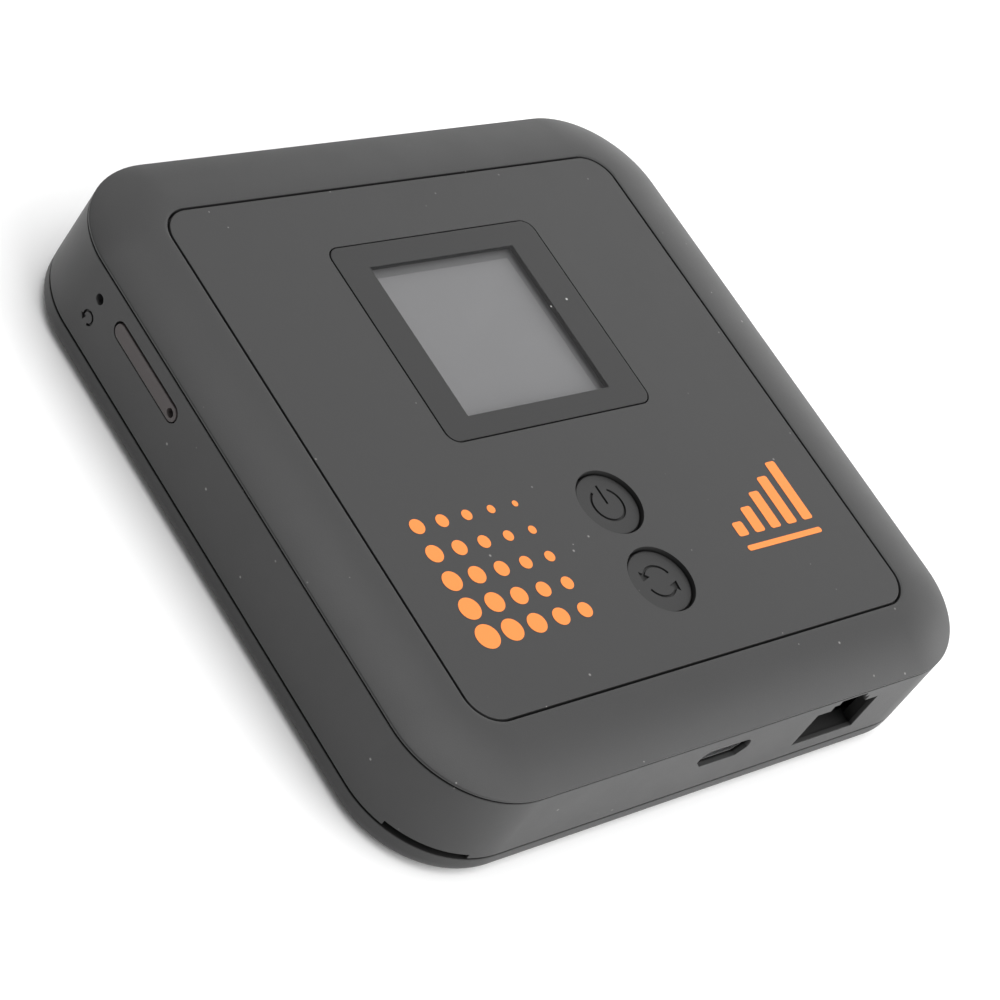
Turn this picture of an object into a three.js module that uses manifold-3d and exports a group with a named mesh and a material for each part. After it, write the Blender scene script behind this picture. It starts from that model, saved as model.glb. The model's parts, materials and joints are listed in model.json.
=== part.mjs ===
// A mobile hotspot: a square pocket router with a domed bezel, an inlaid front panel
// with a small display, two push buttons, a SIM tray, and network and USB sockets.
// Millimetres, +Z up, origin at the centre of the underside. The sockets face -Y,
// the SIM tray and the reset hole face -X.
import * as THREE from 'three';
import { mergeVertices } from 'three/addons/utils/BufferGeometryUtils.js';
import Module from 'manifold-3d';

const wasm = await Module();
wasm.setup();

// ---- driving dimensions ----
const RIM_SIDE = 97.5;          // outside width at the sharp rim under the dome
const HEIGHT = 18;              // underside to front panel
const CORNER_R = 13.9;          // outside corner, seen from above
const DRAFT = 0.35;             // how far each wall leans out, rim to seam
const DOME_DROP = 2.4;          // panel face down to the rim
const RIM_LIP = 0.3;            // upright strip under the rim
const RIM_GAP = 0.25;           // shadow line between bezel and frame
const SEAM_Z = 3.7;             // middle of the gap between frame and back cover
const SEAM_GAP = 0.3;
const COVER_ROUND = 2.3;        // rounded lower edge of the back cover
const COVER_FLOOR = 1.4;
const WALL = 1.85;              // side wall
const SKIRT_SET_IN = 1;         // bezel skirt, in from the outside of the wall
const SKIRT_WALL = 1.2;
const SKIRT_DEPTH = 1.4;        // below the rim lip
const LIP_WALL = 1;             // back cover's lip inside the frame
const LIP_RISE = 1.65;          // above the cover's edge
const RIB_WALL = 0.7;           // stop rib round the inside of the frame
const RIB_HEIGHT = 1;
const FIT = 0.15;               // sliding fit between shells
const GAP = 0.3;                // clearance round anything that moves

const PANEL_SIDE = 78.1;        // inlaid front panel
const PANEL_R = 4.2;
const PANEL_GAP = 0.3;
const PANEL_THICK = 1.2;
const TAPE = 0.15;              // adhesive under the panel
const SHELF = 2.8;              // ledge that the panel sits on
const SHELF_THICK = 1.5;

const LENS = { x: 0.4, y: 14.1, w: 36.2, d: 31.6, r: 1.8, thick: 0.75, gap: 0.15, proud: 0.05 };
const WINDOW = { x: 0.75, y: 14.25, w: 25.5, d: 24.5 };
const INK = 0.1;                // printed border behind the lens
const LCD = { w: 30, d: 29, glass: 1.2, light: 1.7, wall: 0.9, lip: 0.2, drop: 0.3 };
const BRACKET_THICK = 1.2;
const FLEX = { w: 12, t: 0.2, run: 1.6, bend: 0.8 };

const BUTTON_X = 0.4;
const POWER_Y = -14.8;
const BUTTON = { hole: 9.9, gap: 0.25, sunk: 0.5, cap_thick: 1.5, catch: 0.75, flange_thick: 0.9, apart: 0.8 };
const PAIRING_Y = POWER_Y - BUTTON.hole - BUTTON.catch * 2 - BUTTON.apart;
const BUTTON_TRAVEL = 0.3;
const STEM = { d: 2.4, length: 1.4 };
const SWITCH = { side: 6, height: 2, room: 0.1 };   // room: bore floor to the pressed stem
const BUTTON_BOARD = { w: 14, d: 24, thick: 0.8 };

const BOARD_Z = 8.65;           // underside of the main board
const BOARD_THICK = 1;
const BOARD_EDGE = 1.7;         // board to side wall
const BOARD_R = 8;

const JACK = { x: 22.2, z: 6.35, w: 11.9, h: 6.5, body_w: 16, body_d: 21, under: 0.95, over: 0.3 };
const LATCH = [{ half: 3.4, rise: 1.05 }, { half: 2.5, rise: 0.8 }];
const JACK_SET_BACK = 0.7;      // jack front to the inside of the wall
const JACK_CAVITY = 14.5;
const JACK_SHIELD = 0.3;
const CONTACT = { count: 8, pitch: 1.02, w: 0.45, t: 0.3, rise: 1.1, run: 8 };

const USB = { x: -0.35, z: 9.4, w: 9.2, h: 3.25, round: 1.5, chamfer: 1.3 };
const USB_SHELL = { w: 7.8, h: 2.6, wall: 0.3, length: 6, set_back: 0.6 };
const USB_TONGUE = { w: 5, h: 0.7, length: 4.4 };

const PORT_Z = 11.45;           // SIM tray, eject hole and reset hole share this height
const SIM = { y: 20.6, w: 14.8, h: 2.3, gap: 0.2, face: 1.4 };
const EJECT_Y = 14.35;
const EJECT_HOLE = 1.2;
const BLADE = { w: 11, y: 21.7, length: 14.4, thick: 1, floor: 0.28 };
const CARD = { w: 8.8, length: 12.3, thick: 0.67, gap: 0.1 };
const SIM_SOCKET = { length: 17.5, w: 15.4, base: 1.1, sheet: 0.2 };
const ROD = { d: 0.9, length: 15.2 };
const LEVER = { pivot_y: 18, tip: 4.8, w: 1.2, thick: 0.7, hole: 1.8, pin: 1.2, boss: 3 };
const LEVER_GAP = 1.7;          // lever to the back of the tray, at rest

const RESET = { y: 32.2, hole: 1.4, body_x: 3, body_y: 4, body_h: 3.2, plunger: 1.6, length: 1.5 };
const RESET_ENGAGE = 0.8;

const BOSS = { set_in: 8.25, d: 5.2, bore: 2, height: 4.2, web: 2 };
const SCREW = { shank: 1.8, head: 3.6, head_h: 1.2, length: 4.4, hole: 2.2, drive: 1.6, drive_depth: 0.6 };

const BATTERY = { x: 1, y: 7, w: 58, d: 56, thick: 5.6, r: 3 };
const TERMINAL = { w: 4, d: 9, y: 5, drop: 4.4, springs: 3, pitch: 2.6, spring_w: 1.2, spring_h: 1.8 };
const SHIELD_CANS = [
  { name: 'processor_shield', x: -14, y: -22, w: 22, d: 22, h: 2.2 },
  { name: 'modem_shield', x: 31, y: 12, w: 20, d: 28, h: 2.4 },
];
const CHIPS = [
  { name: 'processor_chip', x: -16, y: -20, w: 12, d: 12, h: 1.2 },
  { name: 'memory_chip', x: -6.8, y: -20, w: 5.6, d: 9, h: 1 },
  { name: 'modem_chip', x: 31, y: 14, w: 11, d: 11, h: 1.3 },
];
const CAN_SHEET = 0.25;
const TRANSFORMER = { x: 22, y: -19.5, w: 12.7, d: 9.3, h: 2.2 };
const ANTENNA = { thick: 0.5, h: 6.5, z: 7 };
const MAIN_ANTENNA_W = 44;
const WIFI_ANTENNA_W = 30;
const NOTCH = { from: 206, to: 252, rise: 0.8, depth: 1.1 };  // pry notch, degrees round the corner

// ---- heights and half widths that follow ----
const RIM_HALF = RIM_SIDE / 2;
const SEAM_HALF = RIM_HALF + DRAFT;
const RIM_Z = HEIGHT - DOME_DROP;
const BEZEL_LOW = RIM_Z - RIM_LIP;
const FRAME_TOP = BEZEL_LOW - RIM_GAP;
const FRAME_LOW = SEAM_Z + SEAM_GAP / 2;
const COVER_TOP = SEAM_Z - SEAM_GAP / 2;
const SKIRT_LOW = BEZEL_LOW - SKIRT_DEPTH;
const SKIRT_HALF = RIM_HALF - SKIRT_SET_IN;
const INNER_HALF = RIM_HALF - WALL;
const INNER_R = CORNER_R - WALL;
const BOSS_AT = RIM_HALF - BOSS.set_in;
const LIP_HALF = INNER_HALF - FIT;
const LIP_TOP = COVER_TOP + LIP_RISE;
const PANEL_LOW = HEIGHT - PANEL_THICK;
const SHELF_TOP = PANEL_LOW - TAPE;
const SHELF_LOW = SHELF_TOP - SHELF_THICK;
const POCKET_HALF = PANEL_SIDE / 2 + PANEL_GAP;
const SHELF_HALF = POCKET_HALF - SHELF;
const LENS_TOP = HEIGHT + LENS.proud;
const LENS_LOW = LENS_TOP - LENS.thick;
const INK_LOW = LENS_LOW - INK;
const LCD_TOP = INK_LOW - LCD.drop;
const GLASS_LOW = LCD_TOP - LCD.lip - LCD.glass;
const LIGHT_LOW = GLASS_LOW - LCD.light;
const BRACKET_LOW = LIGHT_LOW - BRACKET_THICK;
const CAP_D = BUTTON.hole - BUTTON.gap * 2;
const FLANGE_D = BUTTON.hole + BUTTON.catch * 2;
const CAP_TOP = HEIGHT - BUTTON.sunk;
const FLANGE_TOP = CAP_TOP - BUTTON.cap_thick + BUTTON.flange_thick / 2;
const FLANGE_LOW = FLANGE_TOP - BUTTON.flange_thick;
const STEM_LOW = FLANGE_LOW - STEM.length;
const SWITCH_TOP = FLANGE_LOW - BUTTON_TRAVEL - GAP;
const SWITCH_LOW = SWITCH_TOP - SWITCH.height;
const BUTTON_BOARD_LOW = SWITCH_LOW - BUTTON_BOARD.thick;
const BOARD_TOP = BOARD_Z + BOARD_THICK;
const BOARD_HALF = INNER_HALF - BOARD_EDGE;
const JACK_FRONT = -INNER_HALF + JACK_SET_BACK;
const LATCH_TOP = JACK.z + JACK.h + LATCH[0].rise + LATCH[1].rise;
const JACK_LOW = JACK.z - JACK.under;
const JACK_TOP = LATCH_TOP + JACK.over;
const wallFace = (z) => RIM_HALF + DRAFT * (BEZEL_LOW - z) / (BEZEL_LOW - SEAM_Z);
const TRAY_FACE = -wallFace(PORT_Z);
const TRAY_BACK = TRAY_FACE + SIM.face;
const BLADE_END = TRAY_BACK + BLADE.length;
const LEVER_X = BLADE_END + LEVER_GAP + LEVER.w / 2;

// ---- colours and finishes ----
const finish = (color, roughness, metalness = 0) => (
  new THREE.MeshStandardMaterial({ color, roughness, metalness })
);
const SOFT_BLACK = () => finish(0x3a3a3b, 0.62);
const PANEL_BLACK = () => finish(0x343435, 0.55);
const GLOSS_BLACK = () => finish(0x2b2b2c, 0.3);
const DEEP_BLACK = () => finish(0x0c0c0d, 0.5);
const CLEAR = () => finish(0x9c9ca0, 0.12);
const LCD_GREY = () => finish(0x8a8b8d, 0.25);
const STEEL = () => finish(0xb9bbbd, 0.32, 1);
const GOLD = () => finish(0xd8b25a, 0.28, 1);
const BOARD_GREEN = () => finish(0x1d4a33, 0.5);
const CREAM = () => finish(0xd9d5c8, 0.6);
const TAUPE = () => finish(0x454040, 0.6);
const AMBER = () => finish(0xa86a26, 0.45);
const SILVER_FOIL = () => finish(0x9ea2a6, 0.4, 0.6);

// ---- solids ----
function solid(geometry) {
  const bare = new THREE.BufferGeometry();
  bare.setAttribute('position', geometry.getAttribute('position').clone());
  if (geometry.index) bare.setIndex(geometry.index.clone());
  const welded = mergeVertices(bare, 1e-5);
  return new wasm.Manifold(new wasm.Mesh({
    numProp: 3,
    vertProperties: new Float32Array(welded.getAttribute('position').array),
    triVerts: new Uint32Array(welded.index.array),
  }));
}

function geometryOf(manifold) {
  const mesh = manifold.getMesh();
  const geometry = new THREE.BufferGeometry();
  geometry.setAttribute('position', new THREE.BufferAttribute(new Float32Array(mesh.vertProperties), 3));
  geometry.setIndex(new THREE.BufferAttribute(new Uint32Array(mesh.triVerts), 1));
  return geometry;
}

const cut = (body, ...tools) => tools.reduce((left, tool) => left.subtract(tool), body);
const join = (first, ...rest) => rest.reduce((sum, other) => sum.add(other), first);

function roundedRect(w, d, r, x = 0, y = 0) {
  const shape = new THREE.Shape();
  const [left, right, low, high] = [x - w / 2, x + w / 2, y - d / 2, y + d / 2];
  shape.moveTo(right, low + r);
  shape.lineTo(right, high - r);
  shape.absarc(right - r, high - r, r, 0, Math.PI / 2);
  shape.lineTo(left + r, high);
  shape.absarc(left + r, high - r, r, Math.PI / 2, Math.PI);
  shape.lineTo(left, low + r);
  shape.absarc(left + r, low + r, r, Math.PI, Math.PI * 1.5);
  shape.lineTo(right - r, low);
  shape.absarc(right - r, low + r, r, Math.PI * 1.5, Math.PI * 2);
  return shape;
}

function prism(shape, low, high, curveSegments = 8) {
  const geometry = new THREE.ExtrudeGeometry(shape, { depth: high - low, bevelEnabled: false, curveSegments });
  geometry.translate(0, 0, low);
  return solid(geometry);
}

const squarePrism = (half, r, low, high) => prism(roundedRect(half * 2, half * 2, r), low, high);

function box(x0, x1, y0, y1, z0, z1) {
  const geometry = new THREE.BoxGeometry(x1 - x0, y1 - y0, z1 - z0);
  geometry.translate((x0 + x1) / 2, (y0 + y1) / 2, (z0 + z1) / 2);
  return solid(geometry);
}

const slab = (low, high) => box(-RIM_SIDE, RIM_SIDE, -RIM_SIDE, RIM_SIDE, low, high);

function centredBox(x, y, w, d, low, high) {
  return box(x - w / 2, x + w / 2, y - d / 2, y + d / 2, low, high);
}

function disc(d, x, y, low, high, sides = 28) {
  const geometry = new THREE.CylinderGeometry(d / 2, d / 2, high - low, sides);
  geometry.rotateX(Math.PI / 2);
  geometry.translate(x, y, (low + high) / 2);
  return solid(geometry);
}

function rodX(d, x0, x1, y, z, sides = 20) {
  const geometry = new THREE.CylinderGeometry(d / 2, d / 2, x1 - x0, sides);
  geometry.rotateZ(Math.PI / 2);
  geometry.translate((x0 + x1) / 2, y, z);
  return solid(geometry);
}

// a shape drawn in x and z, as seen from the front, and pushed back from y0 to y1
function frontPrism(shape, y0, y1, curveSegments = 6) {
  const geometry = new THREE.ExtrudeGeometry(shape, { depth: y1 - y0, bevelEnabled: false, curveSegments });
  geometry.rotateX(Math.PI / 2);
  geometry.translate(0, y1, 0);
  return solid(geometry);
}

// a shape drawn in y and z, pushed along x from x0 to x1
function sidePrism(shape, x0, x1, curveSegments = 8) {
  const geometry = new THREE.ExtrudeGeometry(shape, { depth: x1 - x0, bevelEnabled: false, curveSegments });
  geometry.rotateX(Math.PI / 2);
  geometry.rotateZ(Math.PI / 2);
  geometry.translate(x0, 0, 0);
  return solid(geometry);
}

const stadium = (w, h, y, z) => roundedRect(w, h, h / 2 - 1e-3, y, z);

// ---- the three shells ----

// The crown is an arc of one circle: level at the panel, and leaning at the rim.
function domedCrown() {
  const run = RIM_HALF - POCKET_HALF;
  const radius = (run ** 2 + DOME_DROP ** 2) / (2 * DOME_DROP);
  const core = roundedRect(POCKET_HALF * 2, POCKET_HALF * 2, PANEL_R + PANEL_GAP);
  const geometry = new THREE.ExtrudeGeometry(core, {
    depth: 1,
    bevelThickness: radius,
    bevelSize: radius,
    bevelSegments: 26,
    curveSegments: 8,
  });
  geometry.translate(0, 0, HEIGHT - radius - 1);
  const outline = squarePrism(RIM_HALF, CORNER_R, BEZEL_LOW, HEIGHT + 1);
  return solid(geometry).intersect(outline);
}

function latchCut(clearance, y0, y1) {
  const w = LATCH[0].half * 2 + clearance * 2;
  return centredBox(JACK.x, (y0 + y1) / 2, w, y1 - y0, JACK.z, LATCH_TOP + clearance);
}

function frontBezel() {
  const skirt = squarePrism(SKIRT_HALF, CORNER_R - SKIRT_SET_IN, SKIRT_LOW, BEZEL_LOW + 0.2);
  const innerSkirt = SKIRT_HALF - SKIRT_WALL;
  const hollow = squarePrism(innerSkirt, CORNER_R - SKIRT_SET_IN - SKIRT_WALL, SKIRT_LOW - 1, SHELF_LOW);
  const pocket = squarePrism(POCKET_HALF, PANEL_R + PANEL_GAP, SHELF_TOP, HEIGHT + 1);
  const opening = squarePrism(SHELF_HALF, PANEL_R, SHELF_LOW - 1, HEIGHT + 1);
  const latchRoom = latchCut(GAP, -SKIRT_HALF - 0.2, -innerSkirt + 0.2);
  return cut(join(domedCrown(), skirt), hollow, pocket, opening, latchRoom);
}

function draftedBlock(low, high) {
  const fall = BEZEL_LOW - SEAM_Z;
  const rest = fall * 2;
  const top = roundedRect(RIM_SIDE, RIM_SIDE, CORNER_R);
  const geometry = new THREE.ExtrudeGeometry(top, {
    depth: rest,
    bevelThickness: fall,
    bevelSize: DRAFT,
    bevelSegments: 1,
    curveSegments: 8,
  });
  geometry.translate(0, 0, SEAM_Z - rest);
  return solid(geometry).intersect(slab(low, high));
}

function jackOutline(spread = 0) {
  const z1 = JACK.z + JACK.h + spread;
  const shape = new THREE.Shape();
  const half = JACK.w / 2 + spread;
  const [wide, narrow] = LATCH.map((step) => step.half + spread);
  shape.moveTo(JACK.x - half, JACK.z - spread);
  shape.lineTo(JACK.x + half, JACK.z - spread);
  shape.lineTo(JACK.x + half, z1);
  shape.lineTo(JACK.x + wide, z1);
  shape.lineTo(JACK.x + wide, z1 + LATCH[0].rise);
  shape.lineTo(JACK.x + narrow, z1 + LATCH[0].rise);
  shape.lineTo(JACK.x + narrow, z1 + LATCH[0].rise + LATCH[1].rise);
  shape.lineTo(JACK.x - narrow, z1 + LATCH[0].rise + LATCH[1].rise);
  shape.lineTo(JACK.x - narrow, z1 + LATCH[0].rise);
  shape.lineTo(JACK.x - wide, z1 + LATCH[0].rise);
  shape.lineTo(JACK.x - wide, z1);
  shape.lineTo(JACK.x - half, z1);
  shape.closePath();
  return shape;
}

// flat floor with slanting lower corners, and a rounded top
function usbOutline() {
  const half = USB.w / 2;
  const top = USB.z + USB.h;
  const shape = new THREE.Shape();
  shape.moveTo(USB.x - half + USB.chamfer, USB.z);
  shape.lineTo(USB.x + half - USB.chamfer, USB.z);
  shape.lineTo(USB.x + half, USB.z + USB.chamfer);
  shape.lineTo(USB.x + half, top - USB.round);
  shape.absarc(USB.x + half - USB.round, top - USB.round, USB.round, 0, Math.PI / 2);
  shape.lineTo(USB.x - half + USB.round, top);
  shape.absarc(USB.x - half + USB.round, top - USB.round, USB.round, Math.PI / 2, Math.PI);
  shape.lineTo(USB.x - half, USB.z + USB.chamfer);
  shape.closePath();
  return shape;
}

// a curved slot that follows the corner of the wall
function pryNotch() {
  const centre = RIM_HALF - CORNER_R;
  const outer = CORNER_R + DRAFT + 1;
  const inner = CORNER_R + DRAFT - NOTCH.depth;
  const [a0, a1] = [NOTCH.from, NOTCH.to].map(THREE.MathUtils.degToRad);
  const shape = new THREE.Shape();
  shape.absarc(-centre, -centre, outer, a0, a1, false);
  shape.absarc(-centre, -centre, inner, a1, a0, true);
  shape.closePath();
  return prism(shape, FRAME_LOW - 1, FRAME_LOW + NOTCH.rise, 14);
}

function boardBoss(sx, sy) {
  const reach = RIM_HALF - CORNER_R;
  const wallMiddle = reach + (CORNER_R - WALL / 2) * Math.SQRT1_2;
  const length = (wallMiddle - BOSS_AT) * Math.SQRT2;
  const geometry = new THREE.BoxGeometry(length, BOSS.web, BOSS.height);
  geometry.translate(length / 2, 0, BOARD_TOP + BOSS.height / 2);
  geometry.rotateZ(Math.atan2(sy, sx));
  geometry.translate(BOSS_AT * sx, BOSS_AT * sy, 0);
  const post = disc(BOSS.d, BOSS_AT * sx, BOSS_AT * sy, BOARD_TOP, BOARD_TOP + BOSS.height);
  return join(post, solid(geometry));
}

const CORNERS = [[1, 1], [-1, 1], [-1, -1], [1, -1]];

function sideFrame() {
  const outer = draftedBlock(FRAME_LOW, FRAME_TOP);
  const hollow = squarePrism(INNER_HALF, INNER_R, FRAME_LOW - 1, FRAME_TOP + 1);
  const recess = squarePrism(SKIRT_HALF + FIT, CORNER_R - SKIRT_SET_IN + FIT, SKIRT_LOW, FRAME_TOP + 1);
  const ribOuter = squarePrism(INNER_HALF + 0.2, INNER_R + 0.2, LIP_TOP, LIP_TOP + RIB_HEIGHT);
  const ribInner = squarePrism(INNER_HALF - RIB_WALL, INNER_R - RIB_WALL, LIP_TOP - 1, LIP_TOP + 3);
  const rib = cut(ribOuter, ribInner);
  const bosses = CORNERS.map(([sx, sy]) => boardBoss(sx, sy));
  const bores = CORNERS.map(([sx, sy]) => (
    disc(BOSS.bore, BOSS_AT * sx, BOSS_AT * sy, BOARD_TOP - 1, BOARD_TOP + BOSS.height - 0.4)
  ));
  const wall = [-RIM_SIDE, -INNER_HALF + RIB_WALL + 0.1];
  const resetBore = rodX(RESET.hole, ...wall, RESET.y, PORT_Z);
  const traySlot = sidePrism(stadium(SIM.w + SIM.gap * 2, SIM.h + SIM.gap * 2, SIM.y, PORT_Z), ...wall);
  return cut(
    join(cut(outer, hollow, recess), rib, ...bosses),
    ...bores,
    frontPrism(jackOutline(), ...wall),
    frontPrism(usbOutline(), ...wall),
    resetBore,
    traySlot,
    pryNotch(),
  );
}

function backCover() {
  const geometry = new THREE.ExtrudeGeometry(
    roundedRect((SEAM_HALF - COVER_ROUND) * 2, (SEAM_HALF - COVER_ROUND) * 2, CORNER_R - COVER_ROUND),
    { depth: HEIGHT, bevelThickness: COVER_ROUND, bevelSize: COVER_ROUND, bevelSegments: 6, curveSegments: 8 },
  );
  geometry.translate(0, 0, COVER_ROUND);
  const tray = solid(geometry).intersect(slab(-1, COVER_TOP));
  const lip = squarePrism(LIP_HALF, INNER_R - FIT, COVER_FLOOR, LIP_TOP);
  const hollow = squarePrism(LIP_HALF - LIP_WALL, INNER_R - FIT - LIP_WALL, COVER_FLOOR, LIP_TOP + 1);
  return cut(join(tray, lip), hollow);
}

// ---- front panel, lens and display ----
function frontPanel() {
  const plate = squarePrism(PANEL_SIDE / 2, PANEL_R, PANEL_LOW, HEIGHT);
  const lensHole = prism(
    roundedRect(LENS.w + LENS.gap * 2, LENS.d + LENS.gap * 2, LENS.r + LENS.gap, LENS.x, LENS.y),
    PANEL_LOW - 1, HEIGHT + 1,
  );
  const holes = [POWER_Y, PAIRING_Y].map((y) => disc(BUTTON.hole, BUTTON_X, y, PANEL_LOW - 1, HEIGHT + 1, 40));
  return cut(plate, lensHole, ...holes);
}

function panelAdhesive() {
  const ring = squarePrism(PANEL_SIDE / 2 - PANEL_GAP, PANEL_R, SHELF_TOP, PANEL_LOW);
  return cut(ring, squarePrism(SHELF_HALF + PANEL_GAP, PANEL_R, SHELF_TOP - 1, HEIGHT));
}

const displayLens = () => prism(roundedRect(LENS.w, LENS.d, LENS.r, LENS.x, LENS.y), LENS_LOW, LENS_TOP);

function lensBorder() {
  const sheet = prism(roundedRect(LENS.w, LENS.d, LENS.r, LENS.x, LENS.y), INK_LOW, LENS_LOW);
  const hole = prism(roundedRect(WINDOW.w, WINDOW.d, 0.3, WINDOW.x, WINDOW.y), INK_LOW - 1, LENS_LOW + 1);
  return cut(sheet, hole);
}

const lcdBlock = (grow, low, high) => (
  centredBox(WINDOW.x, WINDOW.y, LCD.w + grow * 2, LCD.d + grow * 2, low, high)
);

function lcdFrame() {
  const outer = lcdBlock(LCD.wall, LIGHT_LOW, LCD_TOP);
  const well = lcdBlock(FIT, LIGHT_LOW - 1, LCD_TOP - LCD.lip);
  const view = centredBox(WINDOW.x, WINDOW.y, WINDOW.w + 0.6, WINDOW.d + 0.6, LIGHT_LOW, LCD_TOP + 1);
  return cut(outer, well, view);
}

const lcdGlass = () => lcdBlock(0, GLASS_LOW, LCD_TOP - LCD.lip);
const lcdBacklight = () => lcdBlock(0, LIGHT_LOW, GLASS_LOW);

const FLEX_EDGE = WINDOW.y - LCD.d / 2 - LCD.wall;

function displayBracket() {
  const plate = lcdBlock(LCD.wall, BRACKET_LOW, LIGHT_LOW);
  const opening = lcdBlock(-5, BRACKET_LOW - 1, LIGHT_LOW + 1);
  const flexRoom = box(
    WINDOW.x - FLEX.w / 2 - GAP, WINDOW.x + FLEX.w / 2 + GAP,
    FLEX_EDGE - 1, FLEX_EDGE + 8, LIGHT_LOW - FLEX.t - 0.1, LIGHT_LOW + 1,
  );
  const legs = CORNERS.map(([sx, sy]) => centredBox(
    WINDOW.x + sx * (LCD.w / 2 - 1.5), WINDOW.y + sy * (LCD.d / 2 - 1.5), 3, 3, BOARD_TOP, BRACKET_LOW + 0.2,
  ));
  return cut(join(plate, ...legs), opening, flexRoom);
}

// A ribbon from under the backlight, bent down to the main board.
function lcdFlex() {
  const y0 = FLEX_EDGE + 6.5;
  const y1 = FLEX_EDGE - FLEX.run;
  const [top, low] = [LIGHT_LOW, BOARD_TOP];
  const { bend, t } = FLEX;
  const shape = new THREE.Shape();
  shape.moveTo(y0, top);
  shape.lineTo(y1 + bend, top);
  shape.absarc(y1 + bend, top - bend, bend, Math.PI / 2, Math.PI, false);
  shape.lineTo(y1, low + t);
  shape.lineTo(y1 - 2, low + t);
  shape.lineTo(y1 - 2, low);
  shape.lineTo(y1 + t, low);
  shape.lineTo(y1 + t, top - bend);
  shape.absarc(y1 + bend, top - bend, bend - t, Math.PI, Math.PI / 2, true);
  shape.lineTo(y0, top - t);
  shape.closePath();
  return sidePrism(shape, WINDOW.x - FLEX.w / 2, WINDOW.x + FLEX.w / 2);
}

// ---- buttons ----
function buttonCap(y) {
  const cap = disc(CAP_D, BUTTON_X, y, FLANGE_LOW, CAP_TOP, 40);
  return join(cap, disc(FLANGE_D, BUTTON_X, y, FLANGE_LOW, FLANGE_TOP, 40));
}

const switchStem = (y) => disc(STEM.d, BUTTON_X, y, STEM_LOW, FLANGE_LOW);

function tactSwitch(y) {
  const body = centredBox(BUTTON_X, y, SWITCH.side, SWITCH.side, SWITCH_LOW, SWITCH_TOP);
  const floor = STEM_LOW - BUTTON_TRAVEL - SWITCH.room;
  return cut(body, disc(STEM.d + GAP * 2, BUTTON_X, y, floor, SWITCH_TOP + 1));
}

const BUTTON_MIDDLE = (POWER_Y + PAIRING_Y) / 2;

function buttonBoard() {
  return prism(
    roundedRect(BUTTON_BOARD.w, BUTTON_BOARD.d, 1, BUTTON_X, BUTTON_MIDDLE), BUTTON_BOARD_LOW, SWITCH_LOW,
  );
}

const boardConnector = () => centredBox(BUTTON_X + 4.5, BUTTON_MIDDLE, 3.4, 14, BOARD_TOP, BUTTON_BOARD_LOW);

// ---- main board and what sits on it ----
const jackBox = (grow, low, high) => box(
  JACK.x - JACK.body_w / 2 - grow, JACK.x + JACK.body_w / 2 + grow,
  JACK_FRONT - grow * 4, JACK_FRONT + JACK.body_d + grow, low, high,
);

function mainBoard() {
  const holes = CORNERS.map(([sx, sy]) => (
    disc(SCREW.hole, BOSS_AT * sx, BOSS_AT * sy, BOARD_Z - 1, BOARD_TOP + 1)
  ));
  return cut(
    squarePrism(BOARD_HALF, BOARD_R, BOARD_Z, BOARD_TOP),
    ...holes,
    jackBox(0.2, BOARD_Z - 1, BOARD_TOP + 1),
  );
}

function shieldCan(can) {
  const outer = centredBox(can.x, can.y, can.w, can.d, BOARD_TOP, BOARD_TOP + can.h);
  const inner = centredBox(
    can.x, can.y, can.w - CAN_SHEET * 2, can.d - CAN_SHEET * 2, BOARD_TOP - 1, BOARD_TOP + can.h - CAN_SHEET,
  );
  return cut(outer, inner);
}

const chip = (c) => centredBox(c.x, c.y, c.w, c.d, BOARD_TOP, BOARD_TOP + c.h);

function jackHousing() {
  const body = jackBox(-JACK_SHIELD, JACK_LOW + JACK_SHIELD, JACK_TOP - JACK_SHIELD)
    .intersect(slab(JACK_LOW, JACK_TOP));
  const cavity = frontPrism(jackOutline(), JACK_FRONT - 3, JACK_FRONT + JACK_CAVITY);
  const slots = contactPlaces().map((x) => box(
    x - CONTACT.w / 2 - 0.15, x + CONTACT.w / 2 + 0.15,
    JACK_FRONT + 1.6, JACK_FRONT + JACK_CAVITY, JACK.z - 0.35, JACK.z + 0.1,
  ));
  return cut(body, cavity, ...slots);
}

// A metal can round the housing, open at the front and under it.
function jackShield() {
  const outer = jackBox(0, JACK_LOW, JACK_TOP);
  const front = JACK_FRONT + 1;
  const inner = box(
    JACK.x - JACK.body_w / 2 + JACK_SHIELD, JACK.x + JACK.body_w / 2 - JACK_SHIELD,
    JACK_FRONT - 3, JACK_FRONT + JACK.body_d - JACK_SHIELD, JACK_LOW - 1, JACK_TOP - JACK_SHIELD,
  );
  return cut(outer.intersect(box(-RIM_SIDE, RIM_SIDE, front, RIM_SIDE, 0, HEIGHT)), inner);
}

function contactPlaces() {
  const first = JACK.x - CONTACT.pitch * (CONTACT.count - 1) / 2;
  return Array.from({ length: CONTACT.count }, (_, i) => first + i * CONTACT.pitch);
}

// A spring wire: flat in its slot, then sloping up towards the back of the socket.
function jackContact(x) {
  const y0 = JACK_FRONT + 2;
  const z0 = JACK.z - 0.3;
  const { t, run, rise } = CONTACT;
  const shape = new THREE.Shape();
  shape.moveTo(y0, z0);
  shape.lineTo(y0 + 2, z0);
  shape.lineTo(y0 + run, z0 + rise);
  shape.lineTo(y0 + run, z0 + rise + t);
  shape.lineTo(y0 + 1.9, z0 + t);
  shape.lineTo(y0, z0 + t);
  shape.closePath();
  return sidePrism(shape, x - CONTACT.w / 2, x + CONTACT.w / 2);
}

const USB_FRONT = -RIM_HALF + USB_SHELL.set_back;

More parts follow.
